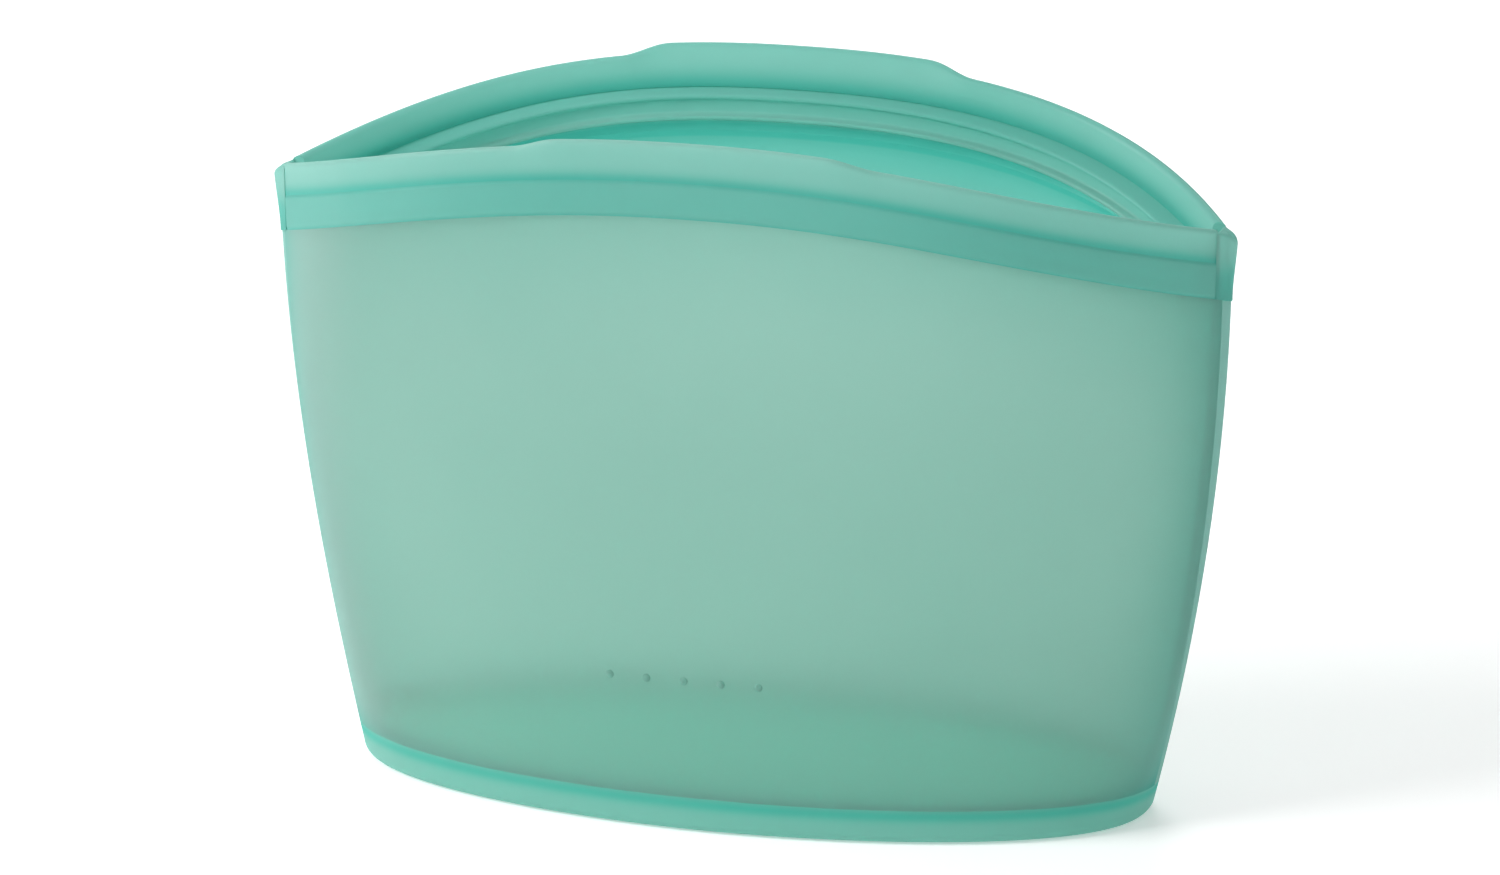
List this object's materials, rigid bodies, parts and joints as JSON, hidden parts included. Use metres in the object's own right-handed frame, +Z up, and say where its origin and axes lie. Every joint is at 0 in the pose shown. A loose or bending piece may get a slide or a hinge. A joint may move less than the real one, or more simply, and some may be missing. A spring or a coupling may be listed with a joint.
{
  "type": "reusable silicone bag",
  "caption": "Stand-up reusable silicone bag, oval foot, bowed walls, arched press-together mouth with rib-and-channel zip and low pull tabs.",
  "frame": {"origin": "middle of the resting plane, under the centre of the bag", "axes": "+X along the mouth towards the right-hand corner, +Y from the front wall to the rear wall, +Z up"},
  "size_m": [0.165, 0.0576, 0.1184],
  "materials": {
    "wall_silicone": "frosted translucent silicone",
    "lip_silicone": "frosted translucent silicone",
    "zip_silicone": "frosted translucent silicone",
    "foot_silicone": "frosted translucent silicone"
  },
  "bodies": {
    "root": {"foot_ring": "foot_silicone", "floor_membrane": "foot_silicone", "left_side_seam": "wall_silicone", "right_side_seam": "wall_silicone", "front_wall": "wall_silicone", "rear_wall": "wall_silicone", "front_wall_pips": "wall_silicone"},
    "front_mouth": {"front_centre_zip_rib": "zip_silicone"},
    "rear_mouth": {"rear_centre_zip_channel": "zip_silicone"},
    "left_corner": {"left_mouth_corner": "lip_silicone"},
    "right_corner": {"right_mouth_corner": "lip_silicone"},
    "front_left_side": {"front_left_lip": "lip_silicone", "front_left_zip_rib": "zip_silicone"},
    "front_right_side": {"front_right_lip": "lip_silicone", "front_right_zip_rib": "zip_silicone"},
    "rear_left_side": {"rear_left_lip": "lip_silicone", "rear_left_zip_channel": "zip_silicone"},
    "rear_right_side": {"rear_right_lip": "lip_silicone", "rear_right_zip_channel": "zip_silicone"},
    "front_tab": {"front_pull_tab": "lip_silicone"},
    "rear_tab": {"rear_pull_tab": "lip_silicone"}
  },
  "joints": [
    {"name": "mouth_close", "type": "slide", "parent": "root", "child": "front_mouth", "axis": [0, 1, 0], "range_m": [0, 0.0241]},
    {"name": "rear_mouth_close", "type": "slide", "parent": "root", "child": "rear_mouth", "axis": [0, -1, 0], "range_m": [0, 0.0241]},
    {"name": "left_corner_spread", "type": "slide", "parent": "root", "child": "left_corner", "axis": [-1, 0, 0], "range_m": [0, 0.0094]},
    {"name": "right_corner_spread", "type": "slide", "parent": "root", "child": "right_corner", "axis": [1, 0, 0], "range_m": [0, 0.0094]},
    {"name": "front_left_fold", "type": "hinge", "parent": "front_mouth", "child": "front_left_side", "pos_m": [-0.03615, -0.02757, 0.1], "axis": [0, 0, 1], "range_deg": [0, 28.8]},
    {"name": "front_right_fold", "type": "hinge", "parent": "front_mouth", "child": "front_right_side", "pos_m": [0.03615, -0.02757, 0.1], "axis": [0, 0, -1], "range_deg": [0, 28.8]},
    {"name": "front_tab_flex", "type": "hinge", "parent": "front_mouth", "child": "front_tab", "pos_m": [0, -0.0282, 0.1118], "axis": [1, 0, 0], "range_deg": [-5, 30]},
    {"name": "rear_left_fold", "type": "hinge", "parent": "rear_mouth", "child": "rear_left_side", "pos_m": [-0.03615, 0.02757, 0.1], "axis": [0, 0, -1], "range_deg": [0, 28.8]},
    {"name": "rear_right_fold", "type": "hinge", "parent": "rear_mouth", "child": "rear_right_side", "pos_m": [0.03615, 0.02757, 0.1], "axis": [0, 0, 1], "range_deg": [0, 28.8]},
    {"name": "rear_tab_flex", "type": "hinge", "parent": "rear_mouth", "child": "rear_tab", "pos_m": [0, 0.0282, 0.1118], "axis": [-1, 0, 0], "range_deg": [-5, 30]}
  ],
  "couplings": [
    {"joint": "rear_mouth_close", "follows": "mouth_close", "ratio": 1},
    {"joint": "left_corner_spread", "follows": "mouth_close", "ratio": 0.39003},
    {"joint": "right_corner_spread", "follows": "mouth_close", "ratio": 0.39003},
    {"joint": "front_left_fold", "follows": "mouth_close", "rad_per_m": 20.785},
    {"joint": "front_right_fold", "follows": "mouth_close", "rad_per_m": 20.785},
    {"joint": "rear_left_fold", "follows": "mouth_close", "rad_per_m": 20.785},
    {"joint": "rear_right_fold", "follows": "mouth_close", "rad_per_m": 20.785}
  ]
}
